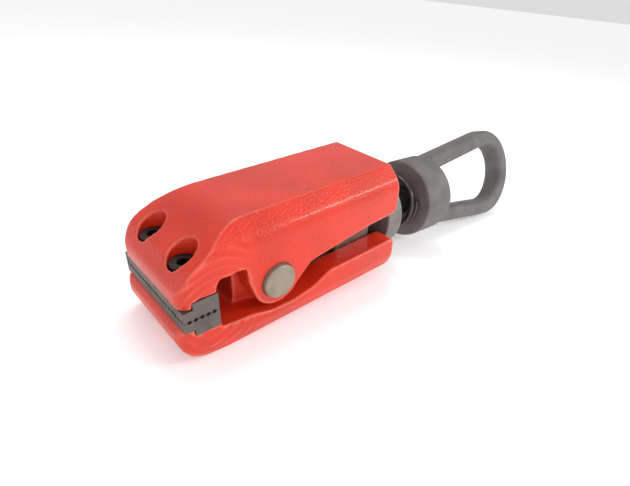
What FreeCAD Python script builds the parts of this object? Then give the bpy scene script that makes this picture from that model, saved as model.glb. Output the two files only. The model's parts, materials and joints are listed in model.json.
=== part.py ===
"""Self-tightening pull clamp: two forged jaws on a cross pin, toothed inserts, a wedge on a sprung draw bar
and a swivelling pull eye.

Frame: +X along the pull axis, from the jaws to the eye; +Y along the cross pin; +Z up. The origin is the middle
of the whole clamp's footprint, on the surface it lies on: it rests on the nose's underside and on the eye, so
the jaws slope down to the nose by PullSlope. The draw bar's pieces are drawn in the pull frame (x along the
pull axis from the pin, z from the pull axis). The jaws' pieces are drawn in the jaw frame (x from the pin,
z from the bite plane), and their Placement turns them about the pin. Millimetres throughout.
"""

import FreeCAD
import Part
import Sketcher
import math
import os

from FreeCAD import Placement, Rotation, Vector

doc = FreeCAD.newDocument("PullClamp")

# ---------------------------------------------------------------------------------------------------------
# Driving sizes. Each row is a cell's alias, its value in millimetres or degrees, and what it is.
# ---------------------------------------------------------------------------------------------------------
SIZES = [
    ("JawWidth", 65.0, "both jaws across the pin"),
    ("JawTop", 38.9, "upper jaw's flat back above the bite plane"),
    ("JawBase", 30.0, "lower jaw's flat underside below the bite plane"),
    ("JawRear", 90.2, "upper jaw's rear end behind the pin"),
    ("LowerRear", 91.2, "lower jaw's rear end behind the pin"),
    ("NoseReach", 56.0, "nose tip ahead of the pin"),
    ("UpperReach", 54.0, "upper nose in front of the pin"),
    ("NoseCorner", 7.5, "nose corner radius in plan"),
    ("BackFlat", 46.4, "width of the flat on the upper jaw's back"),
    ("BevelRound", 11.0, "round between the back's bevel and the side"),
    ("LowerDraft", 3.0, "lower jaw's side draws in by this at the underside"),
    ("LowerSeam", 20.9, "depth of the lower jaw's side seam below the bite plane"),
    ("PinDia", 19.0, "cross pin diameter"),
    ("PinHeight", 0.8, "pin axis above the bite plane"),
    ("PinProud", 2.6, "pin stands out of each ear by this"),
    ("PinChamfer", 0.8, "pin end chamfer"),
    ("PinRun", 0.05, "radial running clearance of the pin in the ears"),
    ("EarRadius", 14.4, "ear round the pin"),
    ("LugRadius", 16.6, "lug round the pin"),
    ("LugWidth", 36.0, "lug between the ears"),
    ("LugGap", 0.4, "clearance between lug or wedge and the jaw's cheeks, each side"),
    ("LugRoom", 1.0, "radial room round the lug inside the upper jaw"),
    ("LugFront", 19.0, "lug front face ahead of the pin"),
    ("LockDia", 4.0, "spring pin that locks the cross pin"),
    ("InsertFront", 53.1, "insert's front face ahead of the pin"),
    ("InsertLength", 18.5, "insert front to back"),
    ("InsertLip", 5.9, "insert height at its front lip"),
    ("InsertStep", 5.2, "lip length front to back"),
    ("InsertHeight", 9.6, "insert height behind the step"),
    ("BiteGap", 0.15, "each insert's tooth tips stand off the bite plane by this when shut"),
    ("ToothPitch", 3.2, "tooth pitch both ways"),
    ("ToothDepth", 1.1, "tooth depth"),
    ("ScrewAcross", 32.2, "insert screws across the jaw"),
    ("ScrewPlace", 42.2, "insert screws ahead of the pin"),
    ("ScrewDia", 8.0, "insert screw thread diameter"),
    ("ScrewHeadDia", 13.0, "insert screw head diameter"),
    ("ScrewHeadHeight", 8.0, "insert screw head height"),
    ("ScrewSocket", 6.0, "insert screw socket across flats"),
    ("ScrewBite", 6.0, "insert screw reach into the insert"),
    ("CounterboreDia", 15.0, "counterbore round the screw head"),
    ("ScrewSeat", 13.5, "counterbore floor from the bite plane"),
    ("PullSlope", 4.15, "jaws slope down to the nose by this many degrees from the pull axis"),
    ("PinDrop", 1.9, "pin axis below the pull axis"),
    ("BarDia", 20.0, "draw bar shank diameter"),
    ("BarThread", 12.0, "draw bar threaded end diameter"),
    ("BarHeadDia", 25.0, "draw bar head diameter"),
    ("BarHeadLength", 8.0, "draw bar head length"),
    ("BarRun", 0.05, "radial running clearance of the bar in the eye"),
    ("DiscRoom", 0.5, "radial room of the bar in the disc"),
    ("NutAcross", 18.0, "draw bar nut across flats"),
    ("NutHeight", 10.8, "draw bar nut height"),
    ("WasherThick", 2.5, "draw bar washer thickness"),
    ("WasherDia", 22.0, "draw bar washer diameter"),
    ("SplitPinDia", 2.5, "split pin diameter"),
    ("WedgeFront", 54.0, "wedge's front face behind the pin"),
    ("WedgeRear", 82.0, "wedge's rear face behind the pin"),
    ("WedgeRearTop", 8.5, "wedge's top edge at the rear above the pull axis"),
    ("WedgeAngle", 22.0, "slope of the wedge's top in degrees"),
    ("FloorDepth", 12.0, "guide plate's running face below the pull axis"),
    ("PlateThick", 4.0, "wear plates' thickness"),
    ("SlideGap", 0.1, "running clearance of the wedge on the plates"),
    ("GuideFront", 36.0, "guide plate's front end behind the pin"),
    ("RampFront", 44.0, "ramp plate's front end behind the pin"),
    ("PlateRear", 88.0, "wear plates' rear ends behind the pin"),
    ("PlateScrewDia", 5.0, "wear plate screw diameter"),
    ("ForkGap", 24.0, "slot across the ramp plate that clears the shank"),
    ("PushTravel", 14.0, "how far the eye can be pushed in"),
    ("DiscGap", 0.2, "gap between the lower jaw's rear end and the disc"),
    ("DiscDia", 50.0, "seat disc diameter"),
    ("DiscThick", 13.4, "seat disc thickness"),
    ("DiscCup", 5.0, "depth of the spring's seat in the disc"),
    ("CollarFront", 132.5, "collar's front face behind the pin"),
    ("CollarDia", 55.0, "collar diameter"),
    ("CollarLength", 27.5, "collar length"),
    ("CollarRound", 4.5, "round on the collar's rear edge"),
    ("WireDia", 3.4, "spring wire diameter"),
    ("SpringDia", 35.6, "spring mean diameter"),
    ("SeatGap", 0.3, "gap between the spring's end and the collar"),
    ("EyeBar", 18.0, "eye's bar across the loop's plane"),
    ("EyeDepth", 12.6, "eye's bar in the loop's plane"),
    ("EyeBarRound", 5.2, "corner round of the eye's bar"),
    ("EyeSpread", 7.0, "each leg leans out from the pull axis by this many degrees"),
    ("EyeBowHalf", 28.8, "bow's middle line radius"),
    ("EyeBowCentre", 105.5, "bow's centre behind the collar's front face"),
    ("EyeTurn", -19.0, "eye's rest angle about the pull axis in degrees"),
    ("SwivelWasher", 2.0, "swivel washer thickness"),
    ("HeadRoom", 0.5, "radial room round the bar's head in the eye"),
    ("HeadPocket", 12.0, "depth of the head's pocket in the collar's rear face"),
    ("EndGap", 0.1, "axial gap each side of the swivel washer"),
    ("ThreadStart", 5.5, "bar's threaded end stands out of the nut by this"),
    ("BoreRoom", 0.2, "radial room of the bar's thread in the wedge, washer and plates"),
    ("SideRoom", 0.15, "gap between a wear plate and each cheek"),
    ("PlateScrewReach", 6.0, "wear plate screw reach into the jaw"),
    ("RampScrewPlace", 8.0, "ramp plate screws behind the plate's front end"),
    ("RampScrewHalf", 10.5, "ramp plate screws each side of the middle"),
    ("GuideScrewInset", 6.0, "guide plate screws in from the plate's ends"),
    ("LockReach", 8.0, "spring pin's top above the pin axis"),
    ("LockLength", 20.0, "spring pin length"),
]

sheet = doc.addObject("Spreadsheet::Sheet", "Sizes")
for row, (alias, value, words) in enumerate(SIZES, start=1):
    sheet.set("A%d" % row, alias)
    sheet.set("B%d" % row, str(value))
    sheet.set("C%d" % row, words)
    sheet.setAlias("B%d" % row, alias)
doc.recompute()



class Dim:
    """A size with its expression, so that one formula gives both a number and a binding to the sheet."""

    def __init__(self, text, value):
        self.text = text
        self.value = float(value)

    def _other(self, other):
        return other if isinstance(other, Dim) else Dim("(%.10g)" % other, other)

    def __add__(self, other):
        o = self._other(other)
        return Dim("(%s + %s)" % (self.text, o.text), self.value + o.value)

    def __sub__(self, other):
        o = self._other(other)
        return Dim("(%s - %s)" % (self.text, o.text), self.value - o.value)

    def __mul__(self, other):
        o = self._other(other)
        return Dim("(%s * %s)" % (self.text, o.text), self.value * o.value)

    def __truediv__(self, other):
        o = self._other(other)
        return Dim("(%s / %s)" % (self.text, o.text), self.value / o.value)

    def __neg__(self):
        return Dim("(0 - %s)" % self.text, -self.value)

    def __radd__(self, other):
        return self._other(other) + self

    def __rsub__(self, other):
        return self._other(other) - self

    def __rmul__(self, other):
        return self._other(other) * self

    def __rtruediv__(self, other):
        return self._other(other) / self


def S(alias):
    return Dim("Sizes.%s" % alias, float(getattr(sheet, alias)))


def dim(value):
    return value if isinstance(value, Dim) else Dim("%.10g" % value, value)


def trig(name, angle):
    """sin, cos or tan of a Dim that holds degrees."""
    return Dim("%s(%s * 1 deg)" % (name, angle.text), getattr(math, name)(math.radians(angle.value)))


def bind(obj, **values):
    """Set each property to a number or a Dim, and bind the Dims to the sheet."""
    for name, value in values.items():
        d = dim(value)
        setattr(obj, name, d.value)
        if isinstance(value, Dim):
            obj.setExpression(name, d.text)


# ---------------------------------------------------------------------------------------------------------
# Document helpers
# ---------------------------------------------------------------------------------------------------------
NODES = []
X_AXIS = Vector(1, 0, 0)
Y_AXIS = Vector(0, 1, 0)
Z_AXIS = Vector(0, 0, 1)


def node(obj, label, frame):
    """Register a finished sub-part under its Label, drawn in the jaw frame, the pull frame or the eye frame."""
    obj.Label = label
    NODES.append((obj, label, frame))
    return obj


def new_body(name):
    return doc.addObject("PartDesign::Body", name)


def new_sketch(body, plane, name, offset=None):
    """A sketch on one of the body's own origin planes, moved along the plane's normal by offset."""
    sketch = body.newObject("Sketcher::SketchObject", name)
    role = plane + "_Plane"
    support = [f for f in body.Origin.OriginFeatures if f.Role == role][0]
    sketch.AttachmentSupport = [(support, "")]
    sketch.MapMode = "FlatFace"
    if offset is not None:
        d = dim(offset)
        sketch.AttachmentOffset = Placement(Vector(0, 0, d.value), Rotation())
        if isinstance(offset, Dim):
            sketch.setExpression("AttachmentOffset.Base.z", d.text)
    return sketch


def pin_point(sketch, geo, pos, x, y):
    """Hold a sketch vertex at x, y from the sketch's origin."""
    for kind, coordinate in (("DistanceX", x), ("DistanceY", y)):
        d = dim(coordinate)
        number = sketch.addConstraint(Sketcher.Constraint(kind, -1, 1, geo, pos, d.value))
        if isinstance(coordinate, Dim):
            sketch.setExpression("Constraints[%d]" % number, d.text)


def add_outline(sketch, points):
    """A closed outline. Each point is (x, y), or (x, y, bulge centre x, centre y) to reach it by an arc."""
    first = sketch.GeometryCount
    count = len(points)
    at = [Vector(dim(p[0]).value, dim(p[1]).value, 0) for p in points]
    ends = []
    for i in range(count):
        j = (i + 1) % count
        if len(points[j]) == 4:
            centre = Vector(dim(points[j][2]).value, dim(points[j][3]).value, 0)
            a0 = math.atan2(at[i].y - centre.y, at[i].x - centre.x)
            a1 = math.atan2(at[j].y - centre.y, at[j].x - centre.x)
            turn = (a1 - a0) % (2 * math.pi)
            circle = Part.Circle(centre, Z_AXIS, (at[i] - centre).Length)
            if turn <= math.pi:
                geo = sketch.addGeometry(Part.ArcOfCircle(circle, a0, a0 + turn), False)
                ends.append((geo, 1, 2))
            else:
                geo = sketch.addGeometry(Part.ArcOfCircle(circle, a1, a1 + 2 * math.pi - turn), False)
                ends.append((geo, 2, 1))
            pin_point(sketch, geo, 3, points[j][2], points[j][3])
        else:
            geo = sketch.addGeometry(Part.LineSegment(at[i], at[j]), False)
            ends.append((geo, 1, 2))
    for i in range(count):
        j = (i + 1) % count
        sketch.addConstraint(Sketcher.Constraint("Coincident", ends[i][0], ends[i][2], ends[j][0], ends[j][1]))
    for i in range(count):
        if len(points[i]) == 4:
            pin_arc_end(sketch, ends[i - 1], points[i])
        else:
            pin_point(sketch, ends[i][0], ends[i][1], points[i][0], points[i][1])
    return first


def pin_arc_end(sketch, end, point):
    """Hold an arc's far end by one coordinate: its radius follows from the centre and the near end."""
    x, y, cx, cy = [dim(value).value for value in point]
    flat = abs(x - cx) < abs(y - cy)
    d = dim(point[0] if flat else point[1])
    kind = "DistanceX" if flat else "DistanceY"
    number = sketch.addConstraint(Sketcher.Constraint(kind, -1, 1, end[0], end[2], d.value))
    if "Sizes" in d.text:
        sketch.setExpression("Constraints[%d]" % number, d.text)


def add_circle(sketch, x, y, radius):
    r = dim(radius)
    geo = sketch.addGeometry(Part.Circle(Vector(dim(x).value, dim(y).value, 0), Z_AXIS, r.value), False)
    number = sketch.addConstraint(Sketcher.Constraint("Radius", geo, r.value))
    if isinstance(radius, Dim):
        sketch.setExpression("Constraints[%d]" % number, r.text)
    pin_point(sketch, geo, 3, x, y)


def pad(body, sketch, length, side="Symmetric", name="Pad", reverse=False):
    feature = body.newObject("PartDesign::Pad", name)
    feature.Profile = sketch
    feature.SideType = side
    feature.Reversed = reverse
    bind(feature, Length=length)
    doc.recompute()
    return feature


def pocket(body, sketch, length, side="Symmetric", name="Pocket"):
    """Cut a sketch out of the body. A one-sided cut that would miss the solid is turned round."""
    before = body.Shape.Volume
    feature = body.newObject("PartDesign::Pocket", name)
    feature.Profile = sketch
    feature.SideType = side
    bind(feature, Length=length)
    doc.recompute()
    if before - body.Shape.Volume < 0.01 and side == "One side":
        feature.Reversed = True
        doc.recompute()
    if before - body.Shape.Volume < 0.01:
        raise RuntimeError("%s cuts nothing" % feature.Label)
    return feature


def edges_where(shape, test):
    return ["Edge%d" % (i + 1) for i, edge in enumerate(shape.Edges) if test(edge)]


def round_edges(body, test, radius, name="Round", kind="Fillet"):
    """Fillet or chamfer the tip's edges that pass the test."""
    base = body.Tip
    names = edges_where(base.Shape, test)
    if not names:
        raise RuntimeError("%s finds no edge" % name)
    feature = body.newObject("PartDesign::" + kind, name)
    feature.Base = (base, names)
    if kind == "Fillet":
        bind(feature, Radius=radius)
    else:
        bind(feature, Size=radius)
    doc.recompute()
    return feature


def along_y(edge, x, z, reach=0.6):
    """True for a straight edge along Y at x, z."""
    if edge.Curve.TypeId != "Part::GeomLine":
        return False
    box = edge.BoundBox
    mid = box.Center
    if box.XLength > 0.01 or box.ZLength > 0.01:
        return False
    return abs(mid.x - dim(x).value) < reach and abs(mid.z - dim(z).value) < reach


COS = trig("cos", S("PullSlope"))
SIN = trig("sin", S("PullSlope"))


def pull_to_jaw(u, w):
    """A point of the pull frame's middle plane, given in the jaw frame."""
    lift = dim(w) + S("PinDrop")
    return (dim(u) * COS + lift * SIN, S("PinHeight") - dim(u) * SIN + lift * COS)


HALF = S("JawWidth") / 2
CHEEK = S("LugWidth") / 2 + S("LugGap")
CHANNEL = CHEEK * 2
TAN = trig("tan", S("WedgeAngle"))
RAMP_SEC = 1 / trig("cos", S("WedgeAngle"))

# ---------------------------------------------------------------------------------------------------------
# Upper jaw (jaw frame)
# ---------------------------------------------------------------------------------------------------------
def nose_corners(body, name, reach):
    """Round the nose's two upright corners in plan."""
    sketch = new_sketch(body, "XY", name + "Sketch")
    r = S("NoseCorner")
    x0 = -reach
    for sign in (1, -1):
        y0 = HALF * sign
        add_outline(sketch, [
            (x0 - 5, y0 + 5 * sign),
            (x0 - 5, y0 - r * sign),
            (x0, y0 - r * sign),
            (x0 + r, y0, x0 + r, y0 - r * sign),
            (x0 + r, y0 + 5 * sign),
        ])
    return pocket(body, sketch, 200, name=name)


def nose_screw_holes(body, up, name):
    """Counterbores from the jaw's outside and clearance holes through to the insert."""
    sign = 1 if up else -1
    bores = new_sketch(body, "XY", name + "BoreSketch", S("ScrewSeat") * sign)
    holes = new_sketch(body, "XY", name + "HoleSketch", 0)
    for side in (1, -1):
        add_circle(bores, -S("ScrewPlace"), S("ScrewAcross") / 2 * side, S("CounterboreDia") / 2)
        add_circle(holes, -S("ScrewPlace"), S("ScrewAcross") / 2 * side, S("ScrewDia") / 2 + 0.3)
    cut = body.newObject("PartDesign::Pocket", name + "Bore")
    cut.Profile = bores
    cut.SideType = "One side"
    cut.Reversed = up
    bind(cut, Length=60)
    doc.recompute()
    pocket(body, holes, 60, name=name + "Hole")


def channel_cut(body, name, points, across=None):
    """A cut between the cheeks, drawn on the jaw's middle plane."""
    sketch = new_sketch(body, "XZ", name + "Sketch")
    add_outline(sketch, points)
    return pocket(body, sketch, CHANNEL if across is None else across, name=name)


def cross_bore(body, name, radius):
    sketch = new_sketch(body, "XZ", name + "Sketch")
    add_circle(sketch, 0, S("PinHeight"), radius)
    return pocket(body, sketch, 200, name=name)


STEP_X = -(S("InsertFront") - S("InsertStep"))
SEAT_X = -(S("InsertFront") - S("InsertLength"))
TOP = S("JawTop")

upper = new_body("UpperJaw")
side = new_sketch(upper, "XZ", "UpperSide")
add_outline(side, [
    (S("JawRear"), 12.4),
    (S("JawRear"), TOP),
    (-22.2, TOP),
    (-47, TOP - 14.5),
    (-S("UpperReach"), TOP - 24.4),
    (-S("UpperReach"), S("InsertLip") + 4.6),
    (-(S("InsertFront") + 0.6), S("InsertLip")),
    (STEP_X, S("InsertLip")),
    (STEP_X, S("InsertHeight")),
    (SEAT_X, S("InsertHeight")),
    (SEAT_X, 15.6),
    (-18.0, 15.6),
    (-17.0, 6.0),
    (-13.9, -3.0),
    (0, -5),
    (12.4, -6.6),
    (22.4, 2.8),
    (50.5, 6.8),
    (66.6, 8.9),
    (S("JawRear") - 3.2, 10.2),
])
pad(upper, side, S("JawWidth"), name="UpperBlock")
ear = new_sketch(upper, "XZ", "EarSketch")
add_circle(ear, 0, S("PinHeight"), S("EarRadius"))
pad(upper, ear, S("JawWidth"), name="Ears")
round_edges(upper, lambda e: along_y(e, -22.2, TOP), 35, "BackRise")
round_edges(upper, lambda e: along_y(e, -47, TOP - 14.5), 12, "NoseBrow")
round_edges(upper, lambda e: along_y(e, -S("UpperReach"), TOP - 24.4), 7, "NoseFront")
round_edges(upper, lambda e: along_y(e, SEAT_X, 15.6), 3.6, "WindowFront")
round_edges(upper, lambda e: along_y(e, -18.0, 15.6), 2.0, "WindowRear")
round_edges(upper, lambda e: along_y(e, 22.4, 2.8), 9, "EarHeel")

bevel = new_sketch(upper, "YZ", "BevelSketch")
corner = TOP - (HALF - S("BackFlat") / 2)
tangent = S("BevelRound") * 0.41421356
for sign in (1, -1):
    add_outline(bevel, [
        (S("BackFlat") / 2 * sign, TOP + 4),
        (S("BackFlat") / 2 * sign, TOP),
        ((HALF - tangent * 0.70710678) * sign, corner + tangent * 0.70710678),
        (HALF * sign, corner - tangent, (HALF - S("BevelRound")) * sign, corner - tangent),
        ((HALF + 4) * sign, corner - tangent),
        ((HALF + 4) * sign, TOP + 4),
    ])
pocket(upper, bevel, 400, name="Bevels")
nose_corners(upper, "UpperNose", S("UpperReach"))
nose_screw_holes(upper, True, "UpperScrew")

lug_room = S("LugRadius") + S("LugRoom")
channel_cut(upper, "LugRoom", [
    (-(S("LugFront") + 3), -40),
    (-(S("LugFront") + 3), S("PinHeight") + lug_room),
    (S("GuideFront"), S("PinHeight") + lug_room),
    (S("JawRear") + 5, -2),
    (S("JawRear") + 5, -40),
])


def ramp_line(u, above):
    """A point above the wedge's top face, given in the jaw frame."""
    height = S("WedgeRearTop") + (S("WedgeRear") - u) * TAN + above * RAMP_SEC
    return pull_to_jaw(u, height)


BACK = S("SlideGap") + S("PlateThick")
channel_cut(upper, "RampPocket", [
    ramp_line(S("GuideFront") - 1, BACK),
    ramp_line(S("JawRear") + 6, BACK),
    pull_to_jaw(S("JawRear") + 6, -30),
    pull_to_jaw(S("GuideFront") - 1, -30),
])
channel_cut(upper, "ShankSlot", [
    pull_to_jaw(S("RampFront") + 4, 0),
    pull_to_jaw(S("RampFront") + 4, S("BarDia") / 2 + 9),
    pull_to_jaw(S("JawRear") + 8, S("BarDia") / 2 + 9),
    pull_to_jaw(S("JawRear") + 8, 0),
], S("ForkGap"))
cross_bore(upper, "EarBore", S("PinDia") / 2 + S("PinRun"))

# ---------------------------------------------------------------------------------------------------------
# Lower jaw (jaw frame)
# ---------------------------------------------------------------------------------------------------------
BASE = -S("JawBase")
lower = new_body("LowerJaw")
side = new_sketch(lower, "XZ", "LowerSide")
add_outline(side, [
    (-S("NoseReach"), -14.0),
    (-S("NoseReach"), -(S("InsertLip") + 3.6)),
    (-(S("InsertFront") + 0.6), -S("InsertLip")),
    (STEP_X, -S("InsertLip")),
    (STEP_X, -S("InsertHeight")),
    (SEAT_X, -S("InsertHeight")),
    (SEAT_X + 1.6, -(S("InsertHeight") + 2.8)),
    (-14.8, -14.4),
    (-4.0, -17.4),
    (11.0, -17.8),
    (25.2, -15.4),
    (37.0, -9.6),
    (S("LowerRear") - 1.6, -9.0),
    (S("LowerRear"), -10.8),
    (S("LowerRear"), BASE + 3.2),
    (S("LowerRear") - 3.4, BASE),
    (-31.0, BASE),
    (-42.0, BASE + 1.8),
    (-50.0, BASE + 6.6),
    (-54.4, BASE + 11.4),
])
pad(lower, side, S("JawWidth"), name="LowerBlock")
round_edges(lower, lambda e: along_y(e, -31, BASE), 40, "SoleRise")
round_edges(lower, lambda e: along_y(e, 37, -9.6), 10, "CheekRise")
round_edges(lower, lambda e: along_y(e, -4, -17.4) or along_y(e, 11, -17.8) or along_y(e, 25.2, -15.4), 14, "EarDip")

draft = new_sketch(lower, "YZ", "DraftSketch")
slope = S("LowerDraft") / (S("JawBase") - S("LowerSeam"))
for sign in (1, -1):
    add_outline(draft, [
        (HALF * sign, -S("LowerSeam")),
        ((HALF + 4) * sign, -S("LowerSeam")),
        ((HALF + 4) * sign, BASE - 3),
        ((HALF - S("LowerDraft") - slope * 3) * sign, BASE - 3),
    ])
pocket(lower, draft, 400, name="SideDraft")
nose_corners(lower, "LowerNose", S("NoseReach"))


def along_x(edge, y, z, reach=0.6):
    """True for a straight edge along X at y (either side), z."""
    if edge.Curve.TypeId != "Part::GeomLine":
        return False
    box = edge.BoundBox
    mid = box.Center
    if box.YLength > 0.01 or box.ZLength > 0.01:
        return False
    return abs(abs(mid.y) - dim(y).value) < reach and abs(mid.z - dim(z).value) < reach


lug = new_sketch(lower, "XZ", "LugSketch")
add_outline(lug, [
    (-S("LugFront"), -20),
    (-S("LugFront"), 6.5),
    (-(S("LugRadius") * 0.62), S("PinHeight") + S("LugRadius") * 0.7846),
    (S("LugRadius") * 0.72, S("PinHeight")),
    (S("LugRadius") + 2, -20),
])
pad(lower, lug, S("LugWidth"), name="LugFoot")
lug = new_sketch(lower, "XZ", "LugRoundSketch")
add_circle(lug, 0, S("PinHeight"), S("LugRadius"))
pad(lower, lug, S("LugWidth"), name="LugRound")
round_edges(lower, lambda e: along_y(e, -S("LugFront"), -13.9, 1.2), 3.5, "LugToe")
channel_cut(lower, "WedgeChannel", [
    pull_to_jaw(S("LugRadius") + 3.4, 20),
    pull_to_jaw(S("LugRadius") + 3.4, -(S("FloorDepth") + 0.5)),
    pull_to_jaw(S("GuideFront"), -(S("FloorDepth") + 0.5)),
    pull_to_jaw(S("GuideFront"), -(S("FloorDepth") + S("PlateThick"))),
    pull_to_jaw(S("LowerRear") + 8, -(S("FloorDepth") + S("PlateThick"))),
    pull_to_jaw(S("LowerRear") + 8, 20),
])
nose_screw_holes(lower, False, "LowerScrew")
cross_bore(lower, "LugBore", S("PinDia") / 2)
lock = new_sketch(lower, "XY", "LockSketch", S("PinHeight") + S("LockReach") + 0.5)
add_circle(lock, 0, 0, S("LockDia") / 2)
pocket(lower, lock, 80, "One side", "LockHole")
round_edges(lower, lambda e: along_x(e, HALF - S("LowerDraft"), BASE), 3.2, "SoleEdge")

# ---------------------------------------------------------------------------------------------------------
# Toothed inserts (jaw frame)
# ---------------------------------------------------------------------------------------------------------


def insert(name, label, sign):
    """The L-stepped insert: a low lip under the nose and a full-height block behind it."""
    body = new_body(name)
    profile = new_sketch(body, "XZ", name + "Side")
    add_outline(profile, [
        (-S("InsertFront"), S("BiteGap") * sign),
        (SEAT_X, S("BiteGap") * sign),
        (SEAT_X, S("InsertHeight") * sign),
        (STEP_X, S("InsertHeight") * sign),
        (STEP_X, S("InsertLip") * sign),
        (-S("InsertFront"), S("InsertLip") * sign),
    ])
    pad(body, profile, S("JawWidth"), name=name + "Block")
    pitch = S("ToothPitch")
    half_groove = pitch / 2 - 0.25
    depth = S("ToothDepth") + S("BiteGap")
    rows = new_sketch(body, "XZ", name + "Rows")
    count = int(S("InsertLength").value / pitch.value)
    margin = (S("InsertLength") - pitch * (count - 1)) / 2
    for i in range(count):
        x = margin + pitch * i - S("InsertFront")
        add_outline(rows, [
            (x - half_groove - 0.4, -0.2 * sign),
            (x + half_groove + 0.4, -0.2 * sign),
            (x, depth * sign),
        ])
    pocket(body, rows, 200, name=name + "RowCuts")
    files = new_sketch(body, "YZ", name + "Files")
    count = int(S("JawWidth").value / pitch.value)
    margin = (S("JawWidth") - pitch * (count - 1)) / 2
    for i in range(count):
        y = margin + pitch * i - HALF
        add_outline(files, [
            (y - half_groove - 0.4, -0.2 * sign),
            (y + half_groove + 0.4, -0.2 * sign),
            (y, depth * sign),
        ])
    pocket(body, files, 400, name=name + "FileCuts")
    holes = new_sketch(body, "XY", name + "Holes", (S("InsertHeight") - S("ScrewBite") - 0.4) * sign)
    for side_sign in (1, -1):
        add_circle(holes, -S("ScrewPlace"), S("ScrewAcross") / 2 * side_sign, S("ScrewDia") / 2)
    cut = body.newObject("PartDesign::Pocket", name + "Threads")
    cut.Profile = holes
    cut.SideType = "One side"
    cut.Reversed = sign > 0
    bind(cut, Length=20)
    doc.recompute()
    return node(body, label, "jaw")


insert("UpperInsert", "upper_insert", 1)
insert("LowerInsert", "lower_insert", -1)


# ---------------------------------------------------------------------------------------------------------
# Fasteners and pins
# ---------------------------------------------------------------------------------------------------------
def place(obj, x, y, z, axis=Z_AXIS):
    """Put a primitive's own z axis along axis, with its origin at x, y, z bound to the sheet."""
    values = [dim(v) for v in (x, y, z)]
    obj.Placement = Placement(Vector(*[v.value for v in values]), Rotation(Z_AXIS, axis))
    for letter, v in zip("xyz", values):
        if "Sizes" in v.text:
            obj.setExpression("Placement.Base.%s" % letter, v.text)
    return obj


def cylinder(name, radius, height, at, axis=Z_AXIS):
    obj = doc.addObject("Part::Cylinder", name)
    bind(obj, Radius=radius, Height=height)
    return place(obj, *at, axis)


def prism(name, across, height, at, axis=Z_AXIS):
    obj = doc.addObject("Part::Prism", name)
    obj.Polygon = 6
    bind(obj, Circumradius=across / 2 / math.cos(math.pi / 6), Height=height)
    return place(obj, *at, axis)


def fuse(name, *parts):
    obj = doc.addObject("Part::MultiFuse", name)
    obj.Shapes = list(parts)
    return obj


def cut(name, base, tool):
    obj = doc.addObject("Part::Cut", name)
    obj.Base = base
    obj.Tool = tool
    return obj


def group(name, *parts):
    obj = doc.addObject("Part::Compound", name)
    obj.Links = list(parts)
    return obj


def insert_screw(name, y, sign):
    """Socket head screw, head outwards, its shank reaching into the insert."""
    axis = Z_AXIS * sign
    x = -S("ScrewPlace")
    shank_start = (S("InsertHeight") - S("ScrewBite")) * sign
    seat = S("ScrewSeat") * sign
    shank = cylinder(name + "Shank", S("ScrewDia") / 2, S("ScrewSeat") - S("InsertHeight") + S("ScrewBite"),
                     (x, y, shank_start), axis)
    head = cylinder(name + "Head", S("ScrewHeadDia") / 2, S("ScrewHeadHeight"), (x, y, seat), axis)
    socket = prism(name + "Socket", S("ScrewSocket"), S("ScrewHeadHeight"),
                   (x, y, (S("ScrewSeat") + S("ScrewHeadHeight") / 2) * sign), axis)
    return cut(name, fuse(name + "Blank", shank, head), socket)


for label, sign in (("upper_insert_screws", 1), ("lower_insert_screws", -1)):
    screws = [insert_screw("%s%d" % (label, i), S("ScrewAcross") / 2 * k, sign) for i, k in enumerate((1, -1))]
    node(group(label + "Pair", *screws), label, "jaw")

pin = new_body("CrossPin")
pin_circle = new_sketch(pin, "XZ", "PinCircle")
add_circle(pin_circle, 0, S("PinHeight"), S("PinDia") / 2)
pad(pin, pin_circle, S("JawWidth") + S("PinProud") * 2, name="PinBar")
pin_lock = new_sketch(pin, "XY", "PinLockSketch", S("PinHeight"))
add_circle(pin_lock, 0, 0, S("LockDia") / 2)
pocket(pin, pin_lock, 60, name="PinLockHole")
round_edges(pin, lambda e: e.Curve.TypeId == "Part::GeomCircle" and abs(e.BoundBox.Center.y) > 20,
            S("PinChamfer"), "PinEnds", "Chamfer")
node(pin, "pivot_pin", "jaw")

lock_foot = S("PinHeight") + S("LockReach") - S("LockLength")
lock_tube = cut("LockTube", cylinder("LockOuter", S("LockDia") / 2, S("LockLength"), (0, 0, lock_foot)),
                cylinder("LockInner", S("LockDia") / 4, S("LockLength") + 2, (0, 0, lock_foot - 1)))
slit = doc.addObject("Part::Box", "LockSlit")
bind(slit, Length=S("LockDia"), Width=0.5, Height=S("LockLength") + 2)
place(slit, 0, -0.25, lock_foot - 1)
node(cut("LockPin", lock_tube, slit), "pin_lock", "jaw")

# ---------------------------------------------------------------------------------------------------------
# Wedge, wear plates and their screws
# ---------------------------------------------------------------------------------------------------------
PLATE_WIDTH = CHANNEL - S("SideRoom") * 2
RAMP_TURN = Rotation(Y_AXIS, S("WedgeAngle").value)
JAW_FRAME = Placement(Vector(0, 0, -S("PinDrop").value), Rotation(Y_AXIS, -S("PullSlope").value)).multiply(
    Placement(Vector(0, 0, -S("PinHeight").value), Rotation()))


def wedge_height(u):
    return S("WedgeRearTop") + (S("WedgeRear") - u) * TAN


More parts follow.
